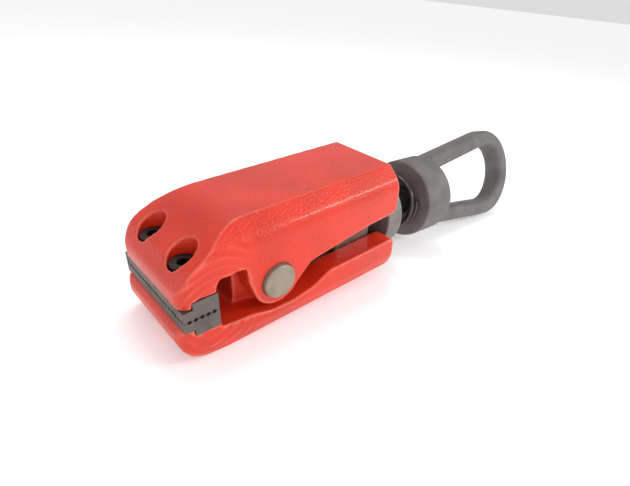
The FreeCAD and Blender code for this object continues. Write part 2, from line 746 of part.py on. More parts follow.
wedge = new_body("Wedge")
profile = new_sketch(wedge, "XZ", "WedgeSide")
add_outline(profile, [
    (S("WedgeFront"), S("SlideGap") - S("FloorDepth")),
    (S("WedgeRear"), S("SlideGap") - S("FloorDepth")),
    (S("WedgeRear"), S("WedgeRearTop")),
    (S("WedgeFront"), wedge_height(S("WedgeFront"))),
])
pad(wedge, profile, S("LugWidth"), name="WedgeBlock")
bore = new_sketch(wedge, "YZ", "WedgeBore")
add_circle(bore, 0, 0, S("BarThread") / 2 + S("BoreRoom"))
pocket(wedge, bore, 400, name="WedgeHole")
round_edges(wedge, lambda e: e.Curve.TypeId == "Part::GeomLine" and abs(e.BoundBox.Center.x - S("WedgeFront").value)
            < 0.1, 1.0, "WedgeEdges", "Chamfer")
node(wedge, "wedge_block", "pull")

ramp = new_body("RampPlate")
profile = new_sketch(ramp, "XZ", "RampSide")
near = S("SlideGap") * RAMP_SEC
far = (S("SlideGap") + S("PlateThick")) * RAMP_SEC
add_outline(profile, [
    (S("RampFront"), wedge_height(S("RampFront")) + near),
    (S("PlateRear"), wedge_height(S("PlateRear")) + near),
    (S("PlateRear"), wedge_height(S("PlateRear")) + far),
    (S("RampFront"), wedge_height(S("RampFront")) + far),
])
pad(ramp, profile, PLATE_WIDTH, name="RampBlock")
fork = new_sketch(ramp, "XY", "ForkSketch")
fork_start = S("WedgeRear") - S("PushTravel") - 4
add_outline(fork, [
    (fork_start, -S("ForkGap") / 2),
    (S("PlateRear") + 4, -S("ForkGap") / 2),
    (S("PlateRear") + 4, S("ForkGap") / 2),
    (fork_start, S("ForkGap") / 2),
])
pocket(ramp, fork, 200, name="Fork")

guide = new_body("GuidePlate")
profile = new_sketch(guide, "XZ", "GuideSide")
add_outline(profile, [
    (S("GuideFront") + 0.2, -S("FloorDepth") - S("PlateThick")),
    (S("PlateRear"), -S("FloorDepth") - S("PlateThick")),
    (S("PlateRear"), -S("FloorDepth")),
    (S("GuideFront") + 0.2, -S("FloorDepth")),
])
pad(guide, profile, PLATE_WIDTH, name="GuideBlock")


def screw_shape(name, top, down, stages):
    """A solid of revolution along down from top: stages are (radius at start, radius at end, from, to)."""
    shape = None
    for r1, r2, start, end in stages:
        at = top + down * start
        piece = (Part.makeCylinder(r1, end - start, at, down) if abs(r1 - r2) < 1e-9
                 else Part.makeCone(r1, r2, end - start, at, down))
        shape = piece if shape is None else shape.fuse(piece)
    obj = doc.addObject("Part::Feature", name)
    obj.Shape = shape.removeSplitter()
    return obj


def plate_screws(prefix, spots, down, plate, jaw, plate_label, screw_label):
    """Countersunk screws through a wear plate into its jaw, with matching holes in plate and jaw."""
    radius = S("PlateScrewDia").value / 2
    head = S("PlateScrewDia").value
    thick = S("PlateThick").value
    reach = S("PlateScrewReach").value
    room = S("BoreRoom").value
    screws = []
    plate_holes = []
    jaw_holes = []
    for i, top in enumerate(spots):
        blank = screw_shape("%sBlank%d" % (prefix, i), top, down,
                            [(head, radius, 0.1, head - radius + 0.1), (radius, radius, 0.2, thick + reach)])
        socket = screw_shape("%sSocket%d" % (prefix, i), top, down, [(head * 0.3, head * 0.3, 0, head * 0.4)])
        screws.append(cut("%sScrew%d" % (prefix, i), blank, socket))
        plate_holes.append(screw_shape("%sPlateHole%d" % (prefix, i), top, down, [
            (head + room, head + room, -2, 0.1),
            (head + room, radius + room, 0.1, head - radius + 0.1),
            (radius + room, radius + room, 0.2, thick + 3),
        ]))
        hole = screw_shape("%sJawHole%d" % (prefix, i), top, down, [(radius, radius, -1, thick + reach + 0.5)])
        hole.Placement = JAW_FRAME.inverse()
        jaw_holes.append(hole)
    node(cut(prefix + "PlateCut", plate, fuse(prefix + "PlateHoles", *plate_holes)), plate_label, "pull")
    node(group(prefix + "Screws", *screws), screw_label, "pull")
    return cut(prefix + "JawCut", jaw, fuse(prefix + "JawHoles", *jaw_holes))


doc.recompute()
angle = math.radians(S("WedgeAngle").value)
up_ramp = Vector(math.sin(angle), 0, math.cos(angle))
u = (S("RampFront") + S("RampScrewPlace")).value
spot_height = wedge_height(dim(u)).value + near.value
ramp_spots = [Vector(u, k * S("RampScrewHalf").value, spot_height) for k in (1, -1)]
upper_done = plate_screws("Ramp", ramp_spots, up_ramp, ramp, upper, "upper_ramp_plate", "upper_ramp_screws")
guide_us = (S("GuideFront") + S("GuideScrewInset"), S("PlateRear") - S("GuideScrewInset"))
guide_spots = [Vector(g.value, 0, -S("FloorDepth").value) for g in guide_us]
lower_done = plate_screws("Guide", guide_spots, Z_AXIS * -1, guide, lower, "lower_guide_plate",
                          "lower_guide_screws")
node(upper_done, "upper_jaw", "jaw")
node(lower_done, "lower_jaw", "jaw")


# ---------------------------------------------------------------------------------------------------------
# Draw bar and what rides on it (pull frame)
# ---------------------------------------------------------------------------------------------------------
def turned(name, outline, rounds=()):
    """A body turned about the pull axis from an outline of (along, radius) points."""
    body = new_body(name)
    profile = new_sketch(body, "XZ", name + "Outline")
    add_outline(profile, outline)
    feature = body.newObject("PartDesign::Revolution", name + "Turned")
    feature.Profile = profile
    feature.ReferenceAxis = (profile, ["H_Axis"])
    feature.Angle = 360
    doc.recompute()
    for along, radius, amount, kind in rounds:
        round_edges(body, lambda e, a=dim(along).value, r=dim(radius).value: ring_edge(e, a, r), amount,
                    "%sRim%d" % (name, len(body.Group)), kind)
    return body


def ring_edge(edge, along, radius):
    if edge.Curve.TypeId != "Part::GeomCircle":
        return False
    return abs(edge.Curve.Radius - radius) < 0.05 and abs(edge.Curve.Center.x - along) < 0.05


COLLAR_REAR = S("CollarFront") + S("CollarLength")
POCKET_FLOOR = COLLAR_REAR - S("HeadPocket")
HEAD_START = POCKET_FLOOR + S("EndGap") * 2 + S("SwivelWasher")
WASHER_FRONT = S("WedgeFront") - S("WasherThick")
NUT_FRONT = WASHER_FRONT - S("NutHeight")
BAR_FRONT = NUT_FRONT - S("ThreadStart")
BAR = S("BarDia") / 2
THREAD = S("BarThread") / 2

bar = turned("DrawBar", [
    (BAR_FRONT, 0),
    (BAR_FRONT, THREAD),
    (S("WedgeRear"), THREAD),
    (S("WedgeRear"), BAR),
    (HEAD_START, BAR),
    (HEAD_START, S("BarHeadDia") / 2),
    (HEAD_START + S("BarHeadLength"), S("BarHeadDia") / 2),
    (HEAD_START + S("BarHeadLength"), 0),
], [
    (BAR_FRONT, THREAD, 1.0, "Chamfer"),
    (HEAD_START + S("BarHeadLength"), S("BarHeadDia") / 2, 1.6, "Fillet"),
])
split_hole = new_sketch(bar, "XZ", "SplitHole")
SPLIT_AT = BAR_FRONT + S("ThreadStart") / 2
add_circle(split_hole, SPLIT_AT, 0, S("SplitPinDia") / 2)
pocket(bar, split_hole, 60, name="SplitHoleCut")
node(bar, "draw_bar", "pull")

nut = new_body("BarNut")
hexagon = new_sketch(nut, "YZ", "NutHexagon", NUT_FRONT)
reach = S("NutAcross") / 2 / math.cos(math.pi / 6)
add_outline(hexagon, [(reach * math.cos(math.pi / 3 * k), reach * math.sin(math.pi / 3 * k)) for k in range(6)])
pad(nut, hexagon, S("NutHeight"), "One side", "NutBlock")
nut_bore = new_sketch(nut, "YZ", "NutBore", NUT_FRONT)
add_circle(nut_bore, 0, 0, THREAD)
pocket(nut, nut_bore, 100, name="NutThread")
node(nut, "draw_bar_nut", "pull")

node(turned("BarWasher", [
    (WASHER_FRONT, THREAD + S("BoreRoom")),
    (WASHER_FRONT, S("WasherDia") / 2),
    (S("WedgeFront"), S("WasherDia") / 2),
    (S("WedgeFront"), THREAD + S("BoreRoom")),
], [(WASHER_FRONT, S("WasherDia") / 2, 0.4, "Chamfer")]), "draw_bar_washer", "pull")

split_reach = THREAD + 2.2
split_bar = cylinder("SplitBar", S("SplitPinDia") / 2, split_reach * 2, (SPLIT_AT, -split_reach, 0), Y_AXIS)
split_eye = doc.addObject("Part::Torus", "SplitEye")
bind(split_eye, Radius1=S("SplitPinDia") * 0.75, Radius2=S("SplitPinDia") * 0.36)
place(split_eye, SPLIT_AT, split_reach + S("SplitPinDia") * 0.75, 0)
node(fuse("SplitPin", split_bar, split_eye), "nut_split_pin", "pull")

node(turned("SwivelWasher", [
    (POCKET_FLOOR + S("EndGap"), BAR + S("BoreRoom")),
    (POCKET_FLOOR + S("EndGap"), S("BarHeadDia") / 2),
    (POCKET_FLOOR + S("EndGap") + S("SwivelWasher"), S("BarHeadDia") / 2),
    (POCKET_FLOOR + S("EndGap") + S("SwivelWasher"), BAR + S("BoreRoom")),
]), "swivel_washer", "pull")

# The disc stands square to the pull axis, clear of the lower jaw's sloping rear end.
DISC_FRONT = S("LowerRear") * COS + (S("JawBase") + S("PinHeight")) * SIN + S("DiscGap")
DISC_REAR = DISC_FRONT + S("DiscThick")
CUP = S("SpringDia") / 2 + S("WireDia") / 2 + 0.6
node(turned("SeatDisc", [
    (DISC_FRONT, BAR + S("DiscRoom")),
    (DISC_FRONT, S("DiscDia") / 2),
    (DISC_REAR, S("DiscDia") / 2),
    (DISC_REAR, CUP),
    (DISC_REAR - S("DiscCup"), CUP),
    (DISC_REAR - S("DiscCup"), BAR + S("DiscRoom")),
], [
    (DISC_FRONT, S("DiscDia") / 2, 1.0, "Fillet"),
    (DISC_REAR, S("DiscDia") / 2, 1.4, "Fillet"),
    (DISC_REAR, CUP, 0.6, "Chamfer"),
]), "seat_disc", "root")


def spring_shape():
    """Round wire in three turns: one closed on the disc, one wide open, one nearly closed at the collar."""
    wire = S("WireDia").value
    mean = S("SpringDia").value / 2
    start = (DISC_REAR - S("DiscCup")).value
    end = (S("CollarFront") - S("SeatGap")).value
    low = start + wire * 0.5
    high = end - wire * 0.5
    turns = ((0.0, low), (0.9, low + wire + 0.4), (2.0, high - wire - 1.2), (3.0, high))
    points = []
    steps = 24
    for (t0, x0), (t1, x1) in zip(turns, turns[1:]):
        count = int(round((t1 - t0) * steps))
        for i in range(count):
            part = i / count
            points.append((t0 + (t1 - t0) * part, x0 + (x1 - x0) * part))
    points.append(turns[-1])
    smooth = [x for _, x in points]
    for _ in range(10):
        smooth = [smooth[0]] + [(smooth[i - 1] + smooth[i] * 2 + smooth[i + 1]) / 4
                                for i in range(1, len(smooth) - 1)] + [smooth[-1]]
    phase = math.radians(18)
    path = [Vector(x, -mean * math.cos(phase + 2 * math.pi * t), mean * math.sin(phase + 2 * math.pi * t))
            for (t, _), x in zip(points, smooth)]
    curve = Part.BSplineCurve()
    curve.interpolate(path)
    edge = curve.toShape()
    tangent = curve.tangent(curve.FirstParameter)[0]
    ring = Part.Wire(Part.makeCircle(wire / 2 - 0.02, path[0], tangent))
    pipe = Part.Wire(edge).makePipeShell([ring], True, True)
    room = Part.makeCylinder(mean + wire * 2, end - start, Vector(start, 0, 0), X_AXIS)
    return pipe.common(room)


spring = doc.addObject("Part::Feature", "Spring")
spring.Shape = spring_shape()
node(spring, "compression_spring", "pull")

# ---------------------------------------------------------------------------------------------------------
# Pull eye (eye frame: the pull frame, with the loop upright)
# ---------------------------------------------------------------------------------------------------------
eye = turned("PullEye", [
    (S("CollarFront"), 0),
    (S("CollarFront"), S("CollarDia") / 2),
    (COLLAR_REAR, S("CollarDia") / 2),
    (COLLAR_REAR, 0),
], [
    (S("CollarFront"), S("CollarDia") / 2, 1.0, "Fillet"),
    (COLLAR_REAR, S("CollarDia") / 2, S("CollarRound"), "Fillet"),
])
spread_sin = trig("sin", S("EyeSpread"))
spread_cos = trig("cos", S("EyeSpread"))
spread_tan = trig("tan", S("EyeSpread"))
bow_x = S("CollarFront") + S("EyeBowCentre")
touch_x = bow_x - S("EyeBowHalf") * spread_sin
touch_z = S("EyeBowHalf") * spread_cos
root_x = COLLAR_REAR - 9
root_z = touch_z - (touch_x - root_x) * spread_tan
spine = new_sketch(eye, "XZ", "LoopSpine")
a0 = Vector(root_x.value, root_z.value, 0)
a1 = Vector(touch_x.value, touch_z.value, 0)
centre = Vector(bow_x.value, 0, 0)
lean = math.radians(90 + S("EyeSpread").value)
lines = [spine.addGeometry(Part.LineSegment(a0, a1), False)]
bow = spine.addGeometry(Part.ArcOfCircle(Part.Circle(centre, Z_AXIS, S("EyeBowHalf").value), -lean, lean), False)
b0 = Vector(root_x.value, -root_z.value, 0)
b1 = Vector(touch_x.value, -touch_z.value, 0)
lines.append(spine.addGeometry(Part.LineSegment(b1, b0), False))
spine.addConstraint(Sketcher.Constraint("Coincident", lines[0], 2, bow, 2))
spine.addConstraint(Sketcher.Constraint("Coincident", bow, 1, lines[1], 1))
pin_point(spine, lines[0], 1, root_x, root_z)
pin_point(spine, lines[0], 2, touch_x, touch_z)
pin_point(spine, lines[1], 2, root_x, -root_z)
pin_arc_end(spine, (bow, 2, 1), (touch_x, -touch_z, bow_x, 0))
pin_point(spine, bow, 3, bow_x, 0.0001)
section = new_sketch(eye, "YZ", "LoopSection", root_x)
half_y = S("EyeBar") / 2
half_z = S("EyeDepth") / 2
r = S("EyeBarRound")
add_outline(section, [
    (-half_y + r, root_z - half_z, -half_y + r, root_z - half_z + r),
    (half_y - r, root_z - half_z),
    (half_y, root_z - half_z + r, half_y - r, root_z - half_z + r),
    (half_y, root_z + half_z - r),
    (half_y - r, root_z + half_z, half_y - r, root_z + half_z - r),
    (-half_y + r, root_z + half_z),
    (-half_y, root_z + half_z - r, -half_y + r, root_z + half_z - r),
    (-half_y, root_z - half_z + r),
])
loop = eye.newObject("PartDesign::AdditivePipe", "Loop")
loop.Profile = section
loop.Spine = (spine, ["Edge1", "Edge2", "Edge3"])
doc.recompute()
pocket_sketch = new_sketch(eye, "YZ", "HeadPocketSketch", POCKET_FLOOR)
add_circle(pocket_sketch, 0, 0, S("BarHeadDia") / 2 + S("HeadRoom"))
head_pocket = eye.newObject("PartDesign::Pocket", "HeadPocket")
head_pocket.Profile = pocket_sketch
head_pocket.SideType = "One side"
head_pocket.Reversed = True
bind(head_pocket, Length=S("HeadPocket") + 16)
doc.recompute()
bar_bore = new_sketch(eye, "YZ", "BarBoreSketch", S("CollarFront") - 5)
add_circle(bar_bore, 0, 0, BAR + S("BarRun"))
bore_cut = eye.newObject("PartDesign::Pocket", "BarBore")
bore_cut.Profile = bar_bore
bore_cut.SideType = "One side"
bore_cut.Reversed = True
bind(bore_cut, Length=S("CollarLength"))
doc.recompute()
node(eye, "pull_eye", "eye")

# ---------------------------------------------------------------------------------------------------------
# Placements, checks and files
# ---------------------------------------------------------------------------------------------------------
EYE_FRAME = Placement(Vector(0, 0, 0), Rotation(X_AXIS, S("EyeTurn").value))
FRAMES = {"jaw": JAW_FRAME, "pull": Placement(), "root": Placement(), "eye": EYE_FRAME}

doc.recompute()
for obj, label, frame in NODES:
    obj.Placement = FRAMES[frame].multiply(obj.Placement)
doc.recompute()

whole = Part.makeCompound([obj.Shape for obj, label, frame in NODES]).optimalBoundingBox()
shift = Vector(-(whole.XMin + whole.XMax) / 2, 0, -whole.ZMin)
for obj, label, frame in NODES:
    obj.Placement = Placement(shift, Rotation()).multiply(obj.Placement)
doc.recompute()

for obj in doc.Objects:
    if "Invalid" in obj.State or "Error" in obj.State:
        raise RuntimeError("%s is %s" % (obj.Label, obj.State))
for obj, label, frame in NODES:
    if obj.Shape.isNull() or not obj.Shape.isValid() or obj.Shape.Volume < 1:
        raise RuntimeError("%s has no sound solid" % label)

os.makedirs("parts", exist_ok=True)
for obj, label, frame in NODES:
    obj.Shape.exportStep("parts/%s.step" % label)
print("origin moved by", [round(v, 4) for v in shift], "box", [round(v, 3) for v in (
    whole.XLength, whole.YLength, whole.ZLength)])
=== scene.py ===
"""A self-tightening pull clamp: forged jaws, toothed inserts, a sprung draw bar and a swivelling eye."""

import json
import math

import bpy
from bpy.props import FloatProperty, FloatVectorProperty, IntProperty, PointerProperty
from mathutils import Matrix, Vector, noise


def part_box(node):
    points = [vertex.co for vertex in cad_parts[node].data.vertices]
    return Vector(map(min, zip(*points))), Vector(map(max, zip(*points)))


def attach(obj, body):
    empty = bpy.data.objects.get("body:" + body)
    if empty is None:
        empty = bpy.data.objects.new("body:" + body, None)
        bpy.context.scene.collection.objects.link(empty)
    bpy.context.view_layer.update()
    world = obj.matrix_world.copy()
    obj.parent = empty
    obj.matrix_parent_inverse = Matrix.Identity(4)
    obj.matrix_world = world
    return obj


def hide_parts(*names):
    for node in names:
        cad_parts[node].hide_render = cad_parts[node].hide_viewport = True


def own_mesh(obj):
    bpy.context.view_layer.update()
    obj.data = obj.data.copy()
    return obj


bl_info = {
    "name": "Self-tightening pull clamp",
    "version": (1, 0, 0),
    "blender": (4, 5, 0),
    "location": "View3D > Sidebar > Pull Clamp",
    "description": "Builds the finished pieces, finishes and stage of a self-tightening pull clamp",
    "category": "Object",
}

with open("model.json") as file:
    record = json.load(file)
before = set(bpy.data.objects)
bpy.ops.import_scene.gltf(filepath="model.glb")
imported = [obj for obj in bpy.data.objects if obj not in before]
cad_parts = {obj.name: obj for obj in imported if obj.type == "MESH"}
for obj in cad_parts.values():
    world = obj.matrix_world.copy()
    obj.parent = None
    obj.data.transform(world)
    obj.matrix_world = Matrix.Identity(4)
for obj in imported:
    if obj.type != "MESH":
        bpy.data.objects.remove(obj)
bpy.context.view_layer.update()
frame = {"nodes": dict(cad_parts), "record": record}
NODES = frame["nodes"]
BODY_OF = {node: body for body, nodes in frame["record"]["behaviour"]["bodies"].items() for node in nodes}
SLOT_OF = {part["node"]: part["material_slot"] for part in frame["record"]["subparts"]}

MM = 0.001
WELD = 0.002 * MM

# Where the ridges on a nose fade in: out across the flank, and along towards the nose.
RIDGE_FLANK = (30.0 * MM, 31.5 * MM)
RIDGE_NOSE = (118.0 * MM, 130.0 * MM)
# How far a ridge strays from its circle, and over what length.
RIDGE_STRAY = 1.6 * MM
RIDGE_WANDER = 14 * MM

# What the softboxes point at, then each one's name, place, width, height and power.
LIT_PLACE = (0.0, 0.0, 0.03)
SOFTBOXES = (
    ("strip", (0.54, -0.62, 0.52), 0.38, 0.07, 3.3),
    ("side", (-0.35, -0.75, 0.30), 0.4, 0.4, 1.0),
    ("top", (0.05, 0.25, 0.9), 0.3, 0.3, 2.4),
)
FLOOR_SIZE = 12.0


# ---------------------------------------------------------------------------------------------------------
# Shader maths
# ---------------------------------------------------------------------------------------------------------
class Value:
    """A socket of a finish, so that shader maths is written as ordinary arithmetic."""

    def __init__(self, finish, socket):
        self.finish = finish
        self.socket = socket

    def maths(self, operation, *terms, clamp=False):
        return self.finish.node("ShaderNodeMath", {"operation": operation, "use_clamp": clamp},
                                dict(enumerate(terms)))

    def __add__(self, other):
        return self.maths("ADD", self, other)

    def __radd__(self, other):
        return self.maths("ADD", other, self)

    def __sub__(self, other):
        return self.maths("SUBTRACT", self, other)

    def __mul__(self, other):
        return self.maths("MULTIPLY", self, other)

    def above(self, low, high):
        """0 below low and 1 above high, with a smooth step between."""
        return self.finish.node("ShaderNodeMapRange", {"interpolation_type": "SMOOTHSTEP"},
                                {"Value": self, "From Min": low, "From Max": high})

    def bounded(self):
        return self.maths("ADD", self, 0.0, clamp=True)


class Finish:
    """One material and the nodes that make it."""

    def __init__(self, name):
        self.material = bpy.data.materials.new(name)
        self.material.use_nodes = True
        self.tree = self.material.node_tree
        self.shader = next(n for n in self.tree.nodes if n.type == "BSDF_PRINCIPLED")
        self.place = self.node("ShaderNodeTexCoord", {}, {}, out="Object")

    def node(self, kind, settings, sockets, out=0):
        """Adds a node, sets it up, feeds its sockets with numbers or links, and returns one output."""
        made = self.tree.nodes.new(kind)
        for key, value in settings.items():
            setattr(made, key, value)
        for key, value in sockets.items():
            if isinstance(value, Value):
                self.tree.links.new(value.socket, made.inputs[key])
            else:
                made.inputs[key].default_value = value
        return Value(self, made.outputs[out])

    def noise(self, size, detail=2.0, rough=0.5, stretch=(1.0, 1.0, 1.0)):
        """Soft noise from 0 to 1 whose blotches are about this many metres across."""
        spread = self.node("ShaderNodeMapping", {}, {"Vector": self.place, "Scale": stretch})
        return self.node("ShaderNodeTexNoise", {}, {
            "Vector": spread, "Scale": 1.0 / size, "Detail": detail, "Roughness": rough})

    def blend(self, amount, first, second):
        """One colour turning into another."""
        return self.node("ShaderNodeMix", {"data_type": "RGBA"}, {0: amount, 6: first, 7: second}, out=2)

    def edges(self):
        """Positive on convex edges and negative in hollows."""
        return self.node("ShaderNodeNewGeometry", {}, {}, out="Pointiness") - 0.5

    def link(self, socket, value):
        self.tree.links.new(value.socket, self.shader.inputs[socket])

    def fixed(self, **values):
        for key, value in values.items():
            self.shader.inputs[key.replace("_", " ")].default_value = value

    def relief(self, height, depth, strength):
        bump = self.node("ShaderNodeBump", {}, {"Height": height, "Distance": depth, "Strength": strength},
                         out="Normal")
        self.link("Normal", bump)


def colour(value):
    return (value[0], value[1], value[2], 1.0)


def shade(value, factor):
    return tuple(c * factor for c in value[:3]) + (1.0,)


def red_paint(looks):
    """Thick gloss paint over a forged skin, pebbled and slightly uneven, with a painted highlight on the
    edges and painted shade in the hollows.
    """
    f = Finish("red_paint")
    base = looks.paint
    broad = f.noise(26 * MM, 2.0)
    pebble = f.noise(1.5 * MM, 2.5, 0.55)
    grain = f.noise(0.7 * MM, 2.0, 0.6)
    edge = f.edges().above(0.006, 0.035)
    painted_hollow_shade = (f.edges() * -1.0).above(0.02, 0.14)
    body = f.blend(broad.above(0.35, 0.7), colour(base), shade(base, 0.86))
    # Painted highlight: convex edges turn a lighter, pinker red in place of lamp glints along them.
    edge_highlighted = f.blend(edge * 0.28, body, colour(looks.painted_edge_highlight))
    # Painted shade: hollows and inner corners turn a darker red, where shade falls.
    f.link("Base Color", f.blend(painted_hollow_shade * 0.4, edge_highlighted, shade(base, 0.55)))
    f.link("Roughness", (grain * 0.22 + pebble * 0.12 + looks.paint_gloss - edge * 0.06).bounded())
    f.relief(pebble * 0.8 + grain * 0.3 + broad * 0.5, 0.6 * MM, 0.8)
    f.fixed(Coat_Weight=0.12, Coat_Roughness=0.1, IOR=1.5, Specular_IOR_Level=0.36)
    return f.material


def forged_grey(looks):
    """Matt scale on a forging, faintly blotched and sandy."""
    f = Finish("forged_grey")
    base = looks.forging
    blotch = f.noise(14 * MM, 3.0, 0.6)
    sand = f.noise(0.55 * MM, 2.0, 0.65)
    scale = f.noise(3.0 * MM, 3.0, 0.6)
    rub = f.edges().above(0.015, 0.1)
    body = f.blend(blotch.above(0.3, 0.72), shade(base, 0.82), shade(base, 1.12))
    f.link("Base Color", f.blend(rub * 0.4, body, shade(base, 1.6)))
    f.link("Roughness", (0.56 + sand * 0.2 - rub * 0.15).bounded())
    f.relief(sand * 0.5 + scale * 0.6 + blotch * 0.4, 0.3 * MM, 0.45)
    f.fixed(Metallic=0.35)
    return f.material


def turned_steel(name, base, rough, line, metal=0.9, grime=0.35, axis="X"):
    """Machined steel with fine tool lines across X or Y, and grime that gathers in blotches."""
    f = Finish(name)
    stretch = {"X": (1.0, 0.06, 0.06), "Y": (0.06, 1.0, 0.06)}[axis]
    lines = f.noise(line, 3.0, 0.6, stretch)
    soil = f.noise(9 * MM, 4.0, 0.6)
    mask = soil.above(0.42, 0.72) * grime
    clean = f.blend(lines, shade(base, 0.86), shade(base, 1.14))
    f.link("Base Color", f.blend(mask, clean, shade(base, 0.42)))
    f.link("Roughness", (lines * 0.16 + mask * 0.35 + rough).bounded())
    f.relief(lines * 0.6 + soil * 0.3, 0.06 * MM, 0.5)
    f.fixed(Metallic=metal)
    return f.material


def blacked_steel(name, base, rough):
    """Blackened steel: nearly black, faintly brown where it is rubbed."""
    f = Finish(name)
    cloud = f.noise(4 * MM, 3.0, 0.6)
    sand = f.noise(0.4 * MM, 2.0, 0.6)
    rubbed = cloud.above(0.5, 0.75) * 0.5
    f.link("Base Color", f.blend(rubbed, colour(base), shade(base, 2.1)))
    f.link("Roughness", (sand * 0.18 + rough).bounded())
    f.relief(sand * 0.5 + cloud * 0.4, 0.08 * MM, 0.5)
    f.fixed(Metallic=0.7)
    return f.material


def make_finishes(looks):
    """Every finish of the clamp, by the record's slot."""
    return {
        "red_paint": red_paint(looks),
        "forged_grey": forged_grey(looks),
        "insert_steel": turned_steel("insert_steel", looks.insert, 0.42, 0.7 * MM, 0.75, 0.45, "Y"),
        "black_screw": blacked_steel("black_screw", looks.blacking, 0.34),
        "pin_steel": turned_steel("pin_steel", looks.pin, 0.46, 0.5 * MM, 0.55, 0.3, "Y"),
        "plate_steel": turned_steel("plate_steel", looks.plate, 0.3, 0.6 * MM, 0.9, 0.4, "X"),
        "wedge_steel": turned_steel("wedge_steel", looks.wedge, 0.3, 0.5 * MM, 0.9, 0.4, "X"),
        "bar_steel": blacked_steel("bar_steel", looks.bar, 0.5),
        "bright_steel": turned_steel("bright_steel", looks.plating, 0.28, 0.5 * MM, 0.95, 0.25, "X"),
        "disc_steel": turned_steel("disc_steel", looks.disc, 0.55, 0.8 * MM, 0.4, 0.3, "X"),
        "spring_steel": blacked_steel("spring_steel", looks.spring, 0.2),
    }


FINISHES = {}


def finish_for(slot):
    if not FINISHES:
        FINISHES.update(make_finishes(bpy.context.scene.clamp_looks))
    return FINISHES[slot]


# ---------------------------------------------------------------------------------------------------------
# Making pieces
# ---------------------------------------------------------------------------------------------------------
def only(obj):
    """Selects one object and makes it the active one."""
    bpy.ops.object.select_all(action="DESELECT")
    obj.select_set(True)
    bpy.context.view_layer.objects.active = obj


def dress(obj, slot):
    obj.data.materials.clear()
    obj.data.materials.append(finish_for(slot))


def finish_node(node):
    """A CAD node that keeps its shape gets its finish."""
    dress(NODES[node], SLOT_OF[node])


def start_from(node, name):
    """A welded copy of a CAD node, to be worked further."""
    piece = bpy.data.objects.new(name, NODES[node].data.copy())
    bpy.context.scene.collection.objects.link(piece)
    only(piece)
    bpy.ops.object.mode_set(mode="EDIT")
    bpy.ops.mesh.select_all(action="SELECT")
    bpy.ops.mesh.remove_doubles(threshold=WELD)
    bpy.ops.object.mode_set(mode="OBJECT")
    return piece


def apply(piece, kind, name, **settings):
    """Adds a modifier, sets it up and applies it."""
    only(piece)
    made = piece.modifiers.new(name, kind)
    for key, value in settings.items():
        setattr(made, key, value)
    bpy.ops.object.modifier_apply(modifier=made.name)


def hand_over(piece, node):
    """The piece stands for its CAD node, on the same body and with the same slot."""
    dress(piece, SLOT_OF[node])
    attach(piece, BODY_OF[node])
    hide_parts(node)


def ramp(value, low, high):
    """0 at low and 1 at high, held level beyond them."""
    return min(1.0, max(0.0, (value - low) / (high - low)))


def ridge_flanks(piece, sizes):
    """Presses shallow curved forging ridges into the flanks of the nose, round the insert."""
    middle = sizes.ridge_middle
    for vertex in piece.data.vertices:
        x, y, z = vertex.co
        flank = ramp(abs(y), *RIDGE_FLANK) * ramp(-x, *RIDGE_NOSE)
        if flank:
            stray = RIDGE_STRAY * noise.noise(vertex.co / RIDGE_WANDER)
            reach = math.hypot(x - middle.x, z - middle.z) + stray
            trough = 0.5 - 0.5 * math.cos(2 * math.pi * reach / sizes.ridge_pitch)
            vertex.co.y -= math.copysign(sizes.ridge_depth * flank * trough, y)


def forge(node, name, grid, softness, ridged=False):
    """A forging: the exact shape in an even skin, with every edge rolled over."""
    piece = start_from(node, name)
    apply(piece, "REMESH", "Skin", mode="VOXEL", voxel_size=grid)
    apply(piece, "SMOOTH", "Roll the edges", factor=0.5, iterations=softness)
    if ridged:
        ridge_flanks(piece, bpy.context.scene.clamp_sizes)
    only(piece)
    bpy.ops.object.shade_smooth()
    if not piece.data.polygons:
        raise RuntimeError(name + " has no faces")
    hand_over(piece, node)


# ---------------------------------------------------------------------------------------------------------
# Sizes and colours
# ---------------------------------------------------------------------------------------------------------
def paint_prop(name, text, default):
    return FloatVectorProperty(name=name, description=text, default=default, size=3, subtype="COLOR",
                               min=0.0, max=1.0)


class ClampSizes(bpy.types.PropertyGroup):
    """Sizes of the finished pieces."""

    jaw_grid: FloatProperty(name="Jaw skin", description="Grid of the jaws' forged skin",
                            default=0.8 * MM, unit="LENGTH", precision=5)
    jaw_softness: IntProperty(name="Jaw softness", description="How far the jaws' edges are rolled over",
                              default=6, min=0)
    ridge_middle: FloatVectorProperty(name="Middle of the ridges", description="Middle of the forging ridges",
                                      default=(-0.146, 0.0, 0.029), size=3, subtype="TRANSLATION",
                                      precision=4)
    ridge_pitch: FloatProperty(name="Ridge pitch", description="Spacing of the forging ridges",
                               default=4.6 * MM, unit="LENGTH", precision=5)
    ridge_depth: FloatProperty(name="Ridge depth", description="Depth between the forging ridges",
                               default=0.35 * MM, unit="LENGTH", precision=5)
    eye_grid: FloatProperty(name="Eye skin", description="Grid of the eye's forged skin",
                            default=0.7 * MM, unit="LENGTH", precision=5)
    eye_softness: IntProperty(name="Eye softness", description="How far the eye's edges are rolled over",
                              default=8, min=0)


